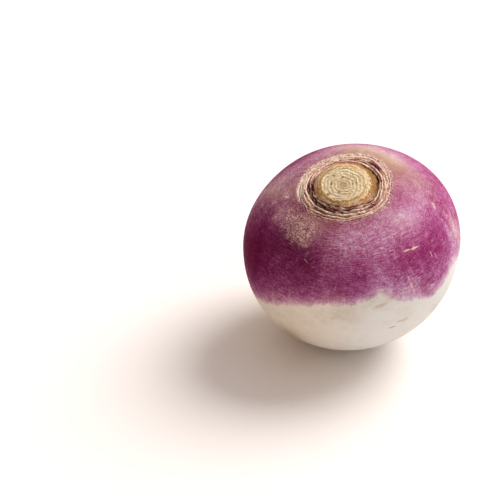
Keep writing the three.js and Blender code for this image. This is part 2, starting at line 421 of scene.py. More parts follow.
# The mesh: the points in a row, and the rows in each zone. Those outside the lip crowd towards it.
SEGMENTS = 416
TAIL_ROWS = 8
LOWER_ROWS = 36
UPPER_ROWS = 24
LIP_ROWS = 24
LIP_CROWDING = 1.7
LEDGE_ROWS = 16
STUB_SIDE_ROWS = 16
STUB_TOP_ROWS = 40

# The fields that the mesh carries for its colours: the skin's and the crown's.
SKIN_FIELDS = ("soil", "blue", "pigment", "unevenness", "violet", "cork", "film", "tail")
CROWN_FIELDS = (
    "lip", "ledge", "crack", "rim", "recess", "painted_shade", "pale", "foot", "side", "shoulder", "heart", "ring",
    "dark", "maroon", "ochre", "pit",
)


def linear(colour):
    """An sRGB hex colour as linear values."""
    parts = [int(colour[i:i + 2], 16) / 255 for i in (1, 3, 5)]
    return tuple(p / 12.92 if p <= 0.04045 else ((p + 0.055) / 1.055) ** 2.4 for p in parts)


def ramp(start, end, value):
    """A smooth step: 0 before the start, 1 past the end."""
    share = np.clip((value - start) / (end - start), 0, 1)
    return share * share * (3 - 2 * share)


def bump(distance, width):
    """1 at no distance, and nothing well past the width."""
    return np.exp(-((distance / width) ** 2))


def mix(start, end, share):
    return start + (end - start) * share


def swelling(angle, towards, width):
    """1 towards an angle, and nothing well away from it."""
    return bump(np.arctan2(np.sin(angle - towards), np.cos(angle - towards)), width)


def wander(angle, seed, slowest, fastest, size):
    """A seeded wavy line round the crown, of a spread of its size."""
    counts = np.arange(slowest, fastest + 1)[:, None]
    starts = np.random.default_rng(seed).uniform(0, 2 * math.pi, counts.shape)
    sizes = counts**-0.5
    return size * ((sizes * np.cos(counts * angle + starts)).sum(0) / math.sqrt((sizes**2).sum() / 2))


def half_height(radius, rise, fullness):
    """The height of one half of the turned form at a radius."""
    share = np.minimum(radius / GIRTH_RADIUS, 1)
    return rise * (1 - share**fullness) ** (1 / fullness)


def outline(angle, radius, swellings, waves, seeded_waves):
    """An uneven outline round the crown: a radius with soft swellings, even waves and seeded ones."""
    for towards, width, size in swellings:
        radius = radius + size * swelling(angle, towards, width)
    for count, size, crest in waves:
        radius = radius + size * np.cos(count * (angle - crest))
    return radius + wander(angle, *seeded_waves)


def ledge_widths(angle, room):
    """The ledges' widths at each angle, from the lip inwards."""
    turns = LEDGE_START + LEDGE_TURN * np.arange(LEDGES)[:, None]
    weights = LEDGE_PINCH + (0.5 + 0.5 * np.cos(angle - turns)) ** LEDGE_TAPER
    waves = np.stack([wander(angle, *ledge_waves) for ledge_waves in LEDGE_WIDTH_WAVES])
    weights = weights * np.maximum(1 + waves, LEDGE_LEAST)
    return room * weights / weights.sum(0)


def crack_floor(widths, ledge):
    """The floor of the crack outside a ledge. The last one is at the stub's foot."""
    room = np.minimum(widths[max(ledge - 1, 0)], widths[min(ledge, LEDGES - 1)])
    return mix(*LEDGE_LEVELS, ledge / LEDGES) - CRACK_DEPTH * np.minimum(room / CRACK_ROOM, 1)


def sided(angle, sides):
    """The sum of soft swellings round the crown."""
    return sum(amount * swelling(angle, towards * DEG, width * DEG) for towards, width, amount in sides)


def stained(angle, inside, stains):
    """The sum of soft stains at each angle, so far inside the lip."""
    total = np.zeros_like(angle)
    waves = wander(angle, *STAIN_WAVES)
    for towards, width, middle, reach, amount in stains:
        ragged = inside - middle + waves
        total = total + amount * swelling(angle, towards * DEG, width * DEG) * bump(ragged, reach)
    return total


def crown_sides(angle):
    """What the crown is like at each angle, whatever the radius."""
    lip = outline(angle, LIP_RADIUS, LIP_SWELLINGS, LIP_WAVES, LIP_EDGE_WAVES)
    foot = outline(angle, STUB_FOOT_RADIUS, (), FOOT_WAVES, FOOT_EDGE_WAVES)
    return SimpleNamespace(
        angle=angle,
        lip=lip,
        foot=foot,
        top=outline(angle, STUB_TOP_RADIUS, (), TOP_WAVES, TOP_EDGE_WAVES),
        widths=ledge_widths(angle, lip - foot),
        opening=CRACK_WIDTH * np.maximum(1 + wander(angle, *CRACK_WAVES), CRACK_LEAST),
        worn=0.1 + 0.9 * swelling(angle, *WORN_SIDE),
        right=swelling(angle, *RIGHT_SIDE),
        faint=1 - 0.6 * swelling(angle, *FAINT_SIDE),
    )


def face_height(radius, angle):
    """The height of the stub's cut face, which slopes."""
    return STUB_RISE + STUB_SLOPE * np.sin(angle) * min(radius / STUB_TOP_RADIUS, 1)


def lip_row(radius, sides):
    """A row of the skin outside the lip, which swells and wrinkles towards it."""
    reach = radius + (sides.lip - LIP_RADIUS) * (1 - ramp(LIP_RADIUS, CROWN_EDGE, radius))
    outside = reach - sides.lip
    crack = bump(outside, sides.opening) * sides.worn
    wrinkles = wander(sides.angle, *LIP_WRINKLES) * bump(outside - 0.8, 1.2)
    swell = LIP_SWELL * bump(outside, LIP_SWELL_WIDTH) + wrinkles
    fields = {
        "lip": 1 - ramp(*LIP_FADE, outside),
        "pale": sided(sides.angle, PALE_SIDES) * (1 - ramp(*PALE_FADE_OUTSIDE, outside)),
        # how dark the crack is painted: painted shade in the crevice
        "crack": 0.5 * sides.worn * crack,
    }
    return reach, mix(swell, crack_floor(sides.widths, 0), crack), fields


def ledge_row(radius, sides, crown):
    """A row of the ledges, with its share of the cracks between them and of the rows of leaf scars."""
    angle, lip, widths, worn = sides.angle, sides.lip, sides.widths, sides.worn
    place = LEDGES * (LIP_RADIUS - radius) / (LIP_RADIUS - STUB_FOOT_RADIUS)
    ledge = min(int(place), LEDGES - 1)
    outermost, last = place < 0.5, place > LEDGES - 0.5
    outside = widths[ledge] * (place - ledge)
    inside = widths[ledge] - outside
    reach = lip - outside - widths[:ledge].sum(0)
    depth = lip - reach

    # The rows of leaf scars fade in from the lip, and sooner where the crown is worn.
    turns = ROWS * depth / (lip - sides.foot) + angle / (2 * math.pi)
    turns += wander(angle + ROW_SLIP * place, *ROW_WAVES)
    rows = np.cos(2 * math.pi * turns) * ramp(0, 2.2 - 1.6 * worn, depth)
    ragged = np.maximum(1 + wander(angle, *LEDGE_RIM_WAVES[ledge]), 0)
    rim = bump(outside - 2 * CRACK_WIDTH, LEDGE_RIM_WIDTH)
    shelf = mix(*LEDGE_LEVELS, place / LEDGES) + LEDGE_RIM * ragged * rim + crown.row_relief / MM * rows
    shelf = mix(LIP_SWELL, shelf, np.maximum(ramp(0, LIP_EASE, depth), worn))

    # The cracks are open where the crown is worn, and near the stub all round.
    floor = np.where(outside < inside, crack_floor(widths, ledge), crack_floor(widths, ledge + 1))
    crack = bump(np.minimum(outside, inside), sides.opening)
    crack = crack * (worn if outermost else np.maximum(worn, mix(0.3, 1, ramp(1.5, 3.5, depth))))
    narrow = np.minimum(widths[ledge] / CRACK_ROOM, 1)
    strength = sides.faint if last else worn * (0.3 + 0.4 * narrow) * (0.5 if outermost else 1)

    # The dark cells of painted shade start further inside the lip on the lit right, and are darkest in the
    # recesses.
    shaded = ramp(0, 1, (depth - 0.3 - 1.2 * sides.right) / (0.9 + 1.5 * sides.right))
    fields = {
        "lip": 1 - ramp(*LIP_FADE, -depth),
        "ledge": ramp(*LEDGE_FADE, depth),
        # how dark the crack is painted: painted shade in the crevice
        "crack": crack * strength,
        "rim": np.maximum(rows, 0) ** 1.6,
        # where brown is painted into the recesses: partly the scars' own colour, partly painted shade
        "recess": np.maximum(-rows, 0) * ramp(0, 4, depth + 3 * worn),
        "painted_shade": sided(angle, PAINTED_SHADE_SIDES) * shaded * (0.15 - 0.9 * rows),
        "pale": sided(angle, PALE_SIDES) * (1 - ramp(*PALE_FADE_INSIDE, depth)),
    }
    return reach, mix(shelf, floor, crack), fields


def stub_side_row(radius, sides):
    """A row of the stub's fluted side, above the crack at its foot."""
    angle, foot, right = sides.angle, sides.foot, sides.right
    climb = (STUB_FOOT_RADIUS - radius) / (STUB_FOOT_RADIUS - STUB_TOP_RADIUS)
    reach = mix(foot, sides.top, climb)
    crack = bump(foot - reach, sides.opening)
    flutes = wander(angle, *STUB_FLUTES) * 4 * climb * (1 - climb)
    slope = mix(LEDGE_LEVELS[1], face_height(radius, angle), ramp(0, 1, climb)) + flutes
    fields = {
        "lip": np.ones_like(angle),
        "ledge": np.ones_like(angle),
        "foot": ramp(0, 0.4, foot - reach) * np.minimum(0.3 + 1.2 * right, 1),
        "side": ramp(0, 1, (climb - 0.05 - 0.3 * right) / (0.35 + 0.35 * right)),
        "shoulder": ramp(*SHOULDER_FADE, climb) * np.ones_like(angle),
        "ring": 0.5 + 0.45 * np.cos(2 * math.pi * radius / 1.1 + angle),
        # how dark the crack is painted: painted shade in the crevice
        "crack": crack * sides.faint,
    }
    return reach, mix(slope, crack_floor(sides.widths, LEDGES), crack), fields


def cut_row(radius, sides, crown):
    """A row of the stub's cut face, with its rings and its rim."""
    angle = sides.angle
    all_over = np.ones_like(angle)
    share = radius / STUB_TOP_RADIUS
    waves = wander(angle, *RING_WAVES) * ramp(0, 1, share)
    rings = np.cos(2 * math.pi * radius * MM / crown.ring_pitch + angle + waves)
    rings = rings * ramp(0, 0.2, share) * (1 - ramp(0.85, 1, share))
    rim = bump(share - 0.95, 0.04) * (1 - ramp(0.96, 1, share))
    lift = face_height(radius, angle) + crown.ring_relief / MM * rings + RING_RIM * rim
    fields = dict.fromkeys(("lip", "ledge", "foot", "side", "shoulder"), all_over)
    fields["heart"] = (1 - ramp(*HEART_FADE, share)) * all_over
    fields["ring"] = 0.5 - 0.5 * rings * (0.6 + wander(angle + share, *RING_STRENGTH_WAVES))
    return sides.top * share, lift, fields


def crown_row(radius, sides, crown):
    """Where a row of the even crown lands, its lift off the smooth body, and its fields."""
    if radius > LIP_RADIUS:
        reach, lift, found = lip_row(radius, sides)
    elif radius > STUB_FOOT_RADIUS:
        reach, lift, found = ledge_row(radius, sides, crown)
    elif radius > STUB_TOP_RADIUS:
        reach, lift, found = stub_side_row(radius, sides)
    else:
        reach, lift, found = cut_row(radius, sides, crown)
    fields = dict.fromkeys(CROWN_FIELDS, np.zeros_like(sides.angle)) | found
    centre_share = max(1 - radius / STUB_TOP_RADIUS, 0)
    x = STUB_CENTRE[0] * centre_share + reach * np.cos(sides.angle)
    y = STUB_CENTRE[1] * centre_share + reach * np.sin(sides.angle)
    inside = sides.lip - np.hypot(x, y)
    towards = np.arctan2(y, x)
    for name, stains in (("dark", DARK_STAINS), ("maroon", MAROON_STAINS), ("ochre", OCHRE_STAINS)):
        fields[name] = stained(towards, inside, stains)
    edge_of_cut = bump(reach - sides.top - 0.1, 0.4)
    fields["ochre"] = fields["ochre"] + (1 - 0.7 * sides.right) * edge_of_cut
    for across, along, size in PITS:
        fields["pit"] = fields["pit"] + bump(np.hypot(x - across, y - along), size)
    return x, y, lift, fields


def lean(x, y, z, share=1.0):
    """Lean points with the body by a share of its full lean. A negative share undoes it."""
    left, front = LEAN_LEFT * share, LEAN_FRONT * share

    def to_left():
        return x * np.cos(left) - z * np.sin(left), y, x * np.sin(left) + z * np.cos(left)

    def to_front():
        return x, y * np.cos(front) - z * np.sin(front), y * np.sin(front) + z * np.cos(front)

    forwards = np.all(np.asarray(share) >= 0)
    for turn in (to_left, to_front) if forwards else (to_front, to_left):
        x, y, z = turn()
    return x, y, z


def uneven(x, y, z):
    """Give upright points of the turned form their lobes and their place off the middle."""
    radius, angle = np.hypot(x, y), np.arctan2(y, x)
    share = 1.0
    for count, size, start in LOBES:
        share = share + size * np.cos(count * (angle - start)) * ramp(*LOBE_FADE, radius)
    near = np.where(z > 0, 1 - ramp(*CROWN_SHIFT_FADE, radius), 0)
    x = x * share + AXIS_SLANT * z / GIRTH_RADIUS + CROWN_SHIFT[0] * near
    return x, y * share + CROWN_SHIFT[1] * near, z


def aimed_at_tail(radius, angle):
    """Points of the lower half, turned so that the rows close round the tail of the leaning body."""
    height = -half_height(radius, ROOT_DROP, ROOT_FULLNESS)
    x, y = radius * np.cos(angle), radius * np.sin(angle)
    length = np.hypot(radius, height)
    x, y, z = x / length, y / length, height / length + 0 * angle
    x, y, z = lean(x, y, z, -ramp(0, 1, -z))
    across = np.hypot(x, y)
    reach = (across / GIRTH_RADIUS) ** ROOT_FULLNESS + (np.maximum(-z, 0) / ROOT_DROP) ** ROOT_FULLNESS
    reach = reach ** (-1 / ROOT_FULLNESS)
    return x * reach, y * reach, z * reach


def row_radii():
    """The radii of the mesh's rows: the lower half's from the tail up, and the upper half's."""
    start = math.acos((TAIL_RADIUS / GIRTH_RADIUS) ** (ROOT_FULLNESS / 2))
    lower = list(TAIL_RADIUS * np.linspace(0, 1, TAIL_ROWS + 1)[:-1])
    turns = start * (1 - np.arange(LOWER_ROWS) / LOWER_ROWS)
    lower += list(GIRTH_RADIUS * np.cos(turns) ** (2 / ROOT_FULLNESS))
    end = math.acos((CROWN_EDGE / GIRTH_RADIUS) ** (CROWN_FULLNESS / 2))
    turns = end * np.arange(UPPER_ROWS) / UPPER_ROWS
    upper = list(GIRTH_RADIUS * np.cos(turns) ** (2 / CROWN_FULLNESS))
    shares = (1 - np.arange(LIP_ROWS) / LIP_ROWS) ** LIP_CROWDING
    upper += list(LIP_RADIUS + (CROWN_EDGE - LIP_RADIUS) * shares)
    places = np.arange(LEDGES * LEDGE_ROWS) / (LEDGES * LEDGE_ROWS)
    upper += list(mix(LIP_RADIUS, STUB_FOOT_RADIUS, places))
    upper += list(mix(STUB_FOOT_RADIUS, STUB_TOP_RADIUS, np.arange(STUB_SIDE_ROWS) / STUB_SIDE_ROWS))
    upper += list(STUB_TOP_RADIUS * (1 - np.arange(STUB_TOP_ROWS + 1) / STUB_TOP_ROWS))
    return lower, upper


def soil_height(x, y, middle):
    """The height of the soil line on the side that a point is on."""
    angle = np.arctan2(y, x)
    height = middle + SOIL_TILT * np.cos(angle - SOIL_HIGH_SIDE * DEG)
    for towards, rise, width in SOIL_WAVES:
        height = height + rise * swelling(angle, towards * DEG, width * DEG)
    return height


def patched(places, patches):
    """The sum of soft round patches at each place."""
    total = 0.0
    for x, y, z, reach, amount in patches:
        far = np.linalg.norm(places - np.array([x, y, z]), axis=-1)
        total = total + amount * bump(far, reach)
    return total


def root_rows(crown):
    """Every vertex of the root, row by row from the tail to the crown's middle, and its fields."""
    angle = np.arange(SEGMENTS) * 2 * math.pi / SEGMENTS
    sides = crown_sides(angle)
    lower, upper = row_radii()
    tail = np.array([float(v[0]) for v in lean(*uneven(*aimed_at_tail(1e-9, angle[:1])))])
    tail[2] -= TAIL_DEPTH
    rows, fields = [], {name: [np.zeros_like(angle)] * len(lower) for name in CROWN_FIELDS}
    for radius in lower:
        point = np.stack(lean(*uneven(*aimed_at_tail(max(radius, 1e-9), angle)))) - tail[:, None]
        point[2] *= ramp(TAIL_RADIUS, TAIL_FLARE_RADIUS, np.hypot(point[0], point[1]))
        rows.append(point)
    for radius in upper:
        found = {}
        if radius < CROWN_EDGE:
            x, y, lift, found = crown_row(radius, sides, crown)
        else:
            x, y, lift = radius * np.cos(angle), radius * np.sin(angle), 0
        height = half_height(np.hypot(x, y), CROWN_RISE, CROWN_FULLNESS)
        x, y, z = uneven(x, y, height)
        rows.append(np.stack(lean(x, y, z + lift)) - tail[:, None])
        for name in CROWN_FIELDS:
            fields[name].append(found.get(name, np.zeros_like(angle)))
    places = np.stack(rows).transpose(0, 2, 1)
    fields = {name: np.stack(values) for name, values in fields.items()}

    step = np.linalg.norm(np.diff(places, axis=0), axis=-1).mean(-1)
    run = np.array(lower + upper)
    edge = next(i for i in range(len(run)) if i >= len(lower) and run[i] < CROWN_EDGE)
    run[:edge] = run[edge] + np.cumsum(step[:edge][::-1])[::-1]
    run = np.broadcast_to(run[:, None], places.shape[:2])
    circle = [np.broadcast_to(wave(angle), run.shape) for wave in (np.cos, np.sin)]
    fields["around"] = np.stack([*circle, run], -1)
    return places, fields


def skin_fields(places, run, soil_line):
    """The skin's fields, from each point's place and its run from the middle of the crown."""
    x, y, z = np.moveaxis(places, -1, 0)
    pigment = PIGMENT_START
    for start, end, amount in PIGMENT_STEPS:
        pigment = pigment + amount * ramp(start, end, run)
    pigment = np.maximum(pigment + patched(places, PIGMENT_PATCHES), PIGMENT_LEAST)
    soil = z - soil_height(x, y, soil_line)
    # Bluer close over the soil line, and the more so to the right.
    blue_end = 16 + 10 * ramp(10, 30, x)
    blue_share = 0.22 + 0.23 * ramp(-20, 15, x)
    return {
        "soil": soil,
        "blue": (1 - ramp(3, blue_end, soil)) * blue_share,
        "pigment": pigment,
        "unevenness": np.minimum(pigment, UNEVENNESS_MOST) * (1 - patched(places, SMOOTH_PATCHES)),
        "violet": ramp(-20, 10, x) * ramp(14, 30, run - 0.35 * y) + patched(places, VIOLET_PATCHES),
        "cork": patched(places, CORK_PATCHES),
        "film": patched(places, FILM_PATCHES) + CROWN_FILM * (1 - ramp(*CROWN_FILM_FADE, run)),
        "tail": (1 - ramp(*TAIL_FADE, np.hypot(x, y))) * (1 - ramp(*TAIL_FADE_UP, z)),
    }


def closed_mesh(name, rows):
    """A mesh of rings, with one vertex at either end."""
    count, around = rows.shape[0] - 2, rows.shape[1]
    places = np.concatenate([rows[0, :1], rows[1:-1].reshape(-1, 3), rows[-1, :1]]) * MM
    start = 1 + np.arange(count - 1)[:, None] * around
    here = np.arange(around)[None]
    after = (here + 1) % around
    quads = np.stack([start + here, start + after, start + around + after, start + around + here], -1)
    last = len(places) - 1
    first_row, last_row = 1 + np.arange(around), 1 + (count - 1) * around + np.arange(around)
    bottom = np.stack([np.zeros(around, int), np.roll(first_row, -1), first_row], -1)
    top = np.stack([np.full(around, last), last_row, np.roll(last_row, -1)], -1)
    mesh = bpy.data.meshes.new(name)
    mesh.from_pydata(places.tolist(), [], quads.reshape(-1, 4).tolist() + bottom.tolist() + top.tolist())
    mesh.shade_smooth()
    return mesh


def write_map(mesh, rows):
    """Lay a closed mesh out for baking: round the body across, and from the tail to the crown upwards."""
    around = rows.shape[1]
    steps = np.linalg.norm(np.diff(rows, axis=0), axis=-1).mean(-1)
    steps += steps.mean() / 2  # room for the crown, whose rows are the finest
    up = np.concatenate([[0], np.cumsum(steps)]) / steps.sum()
    here = np.arange(around)[None] / around
    after, middle = here + 1 / around, here + 0.5 / around
    low, high = up[1:-2, None], up[2:-1, None]
    quads = np.stack(np.broadcast_arrays(here, low, after, low, after, high, here, high), -1)
    bottom = np.stack(np.broadcast_arrays(middle, up[0], after, up[1], here, up[1]), -1)
    top = np.stack(np.broadcast_arrays(middle, up[-1], here, up[-2], after, up[-2]), -1)
    flat = np.concatenate([part.ravel() for part in (quads, bottom, top)]).astype(np.float32)
    mesh.uv_layers.new(name="OFBake").uv.foreach_set("vector", flat)


def write_field(mesh, name, values):
    """Keep a field of a closed mesh's rows as an attribute of its vertices."""
    kind, slot = ("FLOAT_VECTOR", "vector") if values.ndim == 3 else ("FLOAT", "value")
    ends = values[0, :1], values[1:-1].reshape(-1, *values.shape[2:]), values[-1, :1]
    flat = np.concatenate(ends).astype(np.float32).ravel()
    mesh.attributes.new(name, kind, "POINT").data.foreach_set(slot, flat)


def add(tree, kind, inputs=None, output=0, **settings):
    """Add a node with its settings, set or link its inputs, and return one of its outputs."""
    node = tree.nodes.new(kind)
    for name, value in settings.items():
        setattr(node, name, value)
    for name, value in (inputs or {}).items():
        if isinstance(value, bpy.types.NodeSocket):
            tree.links.new(value, node.inputs[name])
        else:
            node.inputs[name].default_value = value
    return node.outputs[output]


def shifted(tree, field, grain, spread):
    """A field moved up and down by a grain, whose own mean is 0.5."""
    centred = add(tree, "ShaderNodeMath", {0: grain, 1: 0.5}, operation="SUBTRACT")
    inputs = {0: centred, 1: spread, 2: field}
    return add(tree, "ShaderNodeMath", inputs, operation="MULTIPLY_ADD")


def feathered(tree, field, grain, spread, start, end):
    """A mask from 0 to 1 as a field goes from start to end, its edge broken up by a grain."""
    inputs = {"Value": shifted(tree, field, grain, spread), "From Min": start, "From Max": end}
    return add(tree, "ShaderNodeMapRange", inputs, interpolation_type="SMOOTHSTEP")


def mark_mask(tree, place, ragged, mark):
    """A mask for one small mark: an ellipsoid along it, its edge broken up by a grain."""
    start, end, half_width, _, amount = mark
    start, end = Vector(start), Vector(end)
    middle = (start + end) / 2
    along = (end - start).normalized()
    across = (middle - Vector(BODY_MIDDLE)).cross(along).normalized()
    turn = Matrix((along, across, along.cross(across))).transposed().to_euler()
    size = Vector(((end - start).length / 2 + half_width, half_width, MARK_DEPTH))
    inputs = {"Vector": place, "Location": middle * MM, "Rotation": turn, "Scale": size * MM}
    local = add(tree, "ShaderNodeMapping", inputs, vector_type="TEXTURE")
    far = add(tree, "ShaderNodeVectorMath", {0: local}, operation="LENGTH", output="Value")
    far = add(tree, "ShaderNodeMath", {0: ragged, 1: 1.0, 2: far}, operation="MULTIPLY_ADD")
    inputs = {"Value": far, "From Min": MARK_FADE[0], "From Max": MARK_FADE[1], "To Min": amount, "To Max": 0}
    return add(tree, "ShaderNodeMapRange", inputs, interpolation_type="SMOOTHSTEP")


def new_material(name):
    material = bpy.data.materials.new(name)
    material.use_nodes = True
    return material


def root_skin(skin, crown):
    """Raw turnip skin: a thin waxy rind over white flesh, stained purple where it saw the sun."""
    material = new_material("waxy_turnip_skin")
    tree = material.node_tree
    shader = tree.nodes["Principled BSDF"]

    read = {
        name: add(tree, "ShaderNodeAttribute", attribute_name=name, output="Fac")
        for name in (*SKIN_FIELDS, *CROWN_FIELDS)
    }
    around = add(tree, "ShaderNodeAttribute", attribute_name="around", output="Vector")
    place = add(tree, "ShaderNodeTexCoord", output="Object")
    tints = {
        each.identifier: (*getattr(settings, each.identifier), 1)
        for settings in (skin, crown)
        for each in settings.bl_rna.properties
        if each.subtype == "COLOR"
    }

    grains = {}
    for name, (size, detail) in EVEN_GRAINS.items():
        inputs = {"Vector": place, "Scale": 1 / (size * MM), "Detail": detail, "Roughness": GRAIN_ROUGHNESS}
        grains[name] = add(tree, "ShaderNodeTexNoise", inputs)
    for name, (count, along) in DRAWN_GRAINS.items():
        scale = (count, count, 1 / along)
        stretched = add(tree, "ShaderNodeVectorMath", {0: around, 1: scale}, operation="MULTIPLY")
        inputs = {"Vector": stretched, "Scale": 1, "Detail": 3}
        inputs |= {"Roughness": GRAIN_ROUGHNESS, "Distortion": GRAIN_DISTORTION}
        grains[name] = add(tree, "ShaderNodeTexNoise", inputs)

    # Thin lines where two scales of a dry rind meet.
    net = add(tree, "ShaderNodeMath", {0: grains["flake"], 1: 0.5}, operation="SUBTRACT")
    net = add(tree, "ShaderNodeMath", {0: net}, operation="ABSOLUTE")
    net = feathered(tree, net, grains["dust"], 0.25, 0.05, 0.01)

    # White flesh, warmer to the left as painted warm shade, with warm stains and a dull film over it.
    side = feathered(tree, read["violet"], grains["cloud"], 0.5, 0.0, 1.0)
    stain = feathered(tree, grains["cloud"], grains["streak"], 0.8, 0.45, 1.25)
    film = feathered(tree, read["film"], grains["mottle"], 0.8, 0.1, 2.0)
    flesh = tints["flesh_warm"]
    for mask, name in ((side, "flesh_white"), (stain, "flesh_stain"), (film, "dull_film")):
        inputs = {0: mask, 6: flesh, 7: tints[name]}
        flesh = add(tree, "ShaderNodeMix", inputs, data_type="RGBA", output=2)

    # The pigment, as a number of thin layers, each of which filters the flesh's colour.
    uneven_share = 0.0
    for grain, amount in PIGMENT_GRAINS:
        uneven_share = shifted(tree, uneven_share, grains[grain], amount)
    inputs = {0: read["unevenness"], 1: uneven_share, 2: read["pigment"]}
    layers = add(tree, "ShaderNodeMath", inputs, operation="MULTIPLY_ADD")
    depth = read["soil"]
    for grain, amount in SOIL_LINE_GRAINS:
        depth = shifted(tree, depth, grains[grain], amount)
    depth = add(tree, "ShaderNodeMath", {0: depth, 1: 0.0}, operation="MAXIMUM")
    depth = add(tree, "ShaderNodeMath", {0: depth, 1: -MM / skin.pigment_depth}, operation="MULTIPLY")
    bare = add(tree, "ShaderNodeMath", {0: depth}, operation="EXPONENT")
    full = add(tree, "ShaderNodeMath", {0: 1.0, 1: bare}, operation="SUBTRACT")
    layers = add(tree, "ShaderNodeMath", {0: layers, 1: full}, operation="MULTIPLY")
    layers = add(tree, "ShaderNodeMath", {0: layers, 1: 0.0}, operation="MAXIMUM")
    pigment = tints["pigment_maroon"]
    for name in ("violet", "blue"):
        inputs = {0: read[name], 6: pigment, 7: tints["pigment_" + name]}
        pigment = add(tree, "ShaderNodeMix", inputs, data_type="RGBA", output=2)
    pigment = add(tree, "ShaderNodeGamma", {"Color": pigment, "Gamma": layers})
    inputs = {0: 1.0, 6: flesh, 7: pigment}
    colour = add(tree, "ShaderNodeMix", inputs, data_type="RGBA", blend_type="MULTIPLY", output=2)

    # What lies on the skin and the crown.
    masks = {**grains, **read}
    masks["net"] = add(tree, "ShaderNodeMath", {0: net, 1: NET_SHARE}, operation="MULTIPLY")
    masks |= {
        name: feathered(tree, masks[field], grains[grain], spread, start, end)
        for name, (field, grain, spread, start, end) in MASKS.items()
    }
    masks |= {mark: mark_mask(tree, place, grains["speck"], mark) for mark in MARKS}
    for name, gate, colour_name in (*COATS, *((mark, None, mark[3]) for mark in MARKS)):
        mask = masks[name]
        if gate:
            mask = add(tree, "ShaderNodeMath", {0: mask, 1: masks[gate]}, operation="MULTIPLY")
        inputs = {0: mask, 6: colour, 7: tints[colour_name]}
        colour = add(tree, "ShaderNodeMix", inputs, data_type="RGBA", output=2)
    tree.links.new(colour, shader.inputs["Base Color"])

    # The wax has a soft sheen that mirrors nothing, and the dry crown has none.
    inputs = {"Value": read["lip"], "To Min": WAX_ROUGHNESS, "To Max": FIBRE_ROUGHNESS}
    rough = add(tree, "ShaderNodeMapRange", inputs)
    tree.links.new(rough, shader.inputs["Roughness"])
    shader.inputs["Specular IOR Level"].default_value = WAX_SPECULAR
    height = grains["dust"]
    for grain, amount in RELIEF_GRAINS:
        inputs = {0: grains[grain], 1: amount, 2: height}
        height = add(tree, "ShaderNodeMath", inputs, operation="MULTIPLY_ADD")
    bumps = add(tree, "ShaderNodeBump", {"Height": height, "Distance": GRAIN_RELIEF * MM, "Strength": 1})
    tree.links.new(bumps, shader.inputs["Normal"])
    return material


def tint(name, description, colour):
    """A colour setting."""
    return FloatVectorProperty(
        name=name, description=description, subtype="COLOR", size=3, default=linear(colour), min=0, max=1,
    )


def length(name, description, size, most):
    """A length setting, from millimetres."""
    return FloatProperty(
        name=name, description=description, default=size * MM, min=0, max=most * MM, precision=5,
        unit="LENGTH",
    )


def arc(name, description, degrees):
    """An angle setting."""
    return FloatProperty(
        name=name, description=description, default=degrees * DEG, subtype="ANGLE", unit="ROTATION",
    )


class TurnipSkin(PropertyGroup):
    soil_line: length("Soil line", "Mean height of the edge between purple and white", 34.0, 70)
    pigment_depth: length("Soil line fade", "How far the pigment takes to its full strength", 5.0, 20)
    # The left side's warmth is painted warm shade.
    flesh_warm: tint("Warm flesh", "Flesh on the left side", "#e8dccc")
    flesh_white: tint("White flesh", "Flesh on the right side", "#e2e0dc")
    flesh_stain: tint("Flesh stains", "Faint stains of the flesh", "#c2a274")
    dull_film: tint("Dull film", "Dry film over the skin", "#bca080")
    pigment_maroon: tint("Maroon pigment", "What a layer of the left side's pigment lets through", "#9f548d")
    pigment_violet: tint("Violet pigment", "What a layer of the right side's pigment lets through", "#b3548b")
    pigment_blue: tint("Blue pigment", "What a layer lets through close to the soil line", "#a8549c")
    cork: tint("Cork", "Scuffed and corky skin", "#f4ccc0")
    scar_pale: tint("Pale scars", "Small pale scars", "#f0ccbc")
    rust: tint("Rust", "Rusty scratches", "#b98a5c")
    rust_dark: tint("Dark rust", "Dark scratches", "#7c4a36")


class TurnipCrown(PropertyGroup):
    row_relief: length("Row relief", "Height of the rows of leaf scars", 0.18, 0.4)
    ring_pitch: length("Ring pitch", "Distance from ring to ring of the cut", 1.3, 4)
    ring_relief: length("Ring relief", "Height of the rings of the cut", 0.08, 0.2)
    lip: tint("Lip", "Edge of the crown", "#c89a8c")
    ledge: tint("Ledges", "Old leaf scars", "#d4a08a")
    ledge_pale: tint("Pale ledges", "Pale dry skin of the leaf scars", "#e6cebc")
    ledge_mauve: tint("Mauve ledges", "Mauve blotches of the leaf scars", "#b47468")
    # The recesses' brown is partly the scars' own colour and partly painted shade.
    ledge_brown: tint("Brown ledges", "Recesses between the rows of leaf scars", "#803428")
    ledge_rim: tint("Ledge rims", "Dry rims of the leaf scars", "#fff0da")
    stub_foot: tint("Stub foot", "Foot of the stub", "#9a7448")
    stub_side: tint("Stub side", "Side of the stub", "#dcb470")
    stub_shoulder: tint("Stub shoulder", "Edge of the cut", "#d8ba80")
    face: tint("Cut", "Dry face of the cut", "#d0b488")
    face_stroke: tint("Cut strokes", "Pale fibres of the cut", "#f8eed4")
    face_line: tint("Cut rings", "Lines of the rings in the cut", "#745630")
    face_heart: tint("Heart", "Middle of the cut", "#8c6844")
    ochre: tint("Ochre", "Stains round the stub", "#b07c38")
    pit: tint("Pits", "Pits of the cut", "#4a2e1c")
    maroon: tint("Maroon", "Patches of fresh skin between the leaf scars", "#6a1c3c")
    # Painted shade: the dark cells of the ledges.
    painted_shade: tint("Gloom", "Dark cells of the ledges", "#44100a")
    # Dark: painted shade in the cracks, and the darkest stains.
    dark: tint("Dark", "Cracks and the darkest stains", "#440c0c")


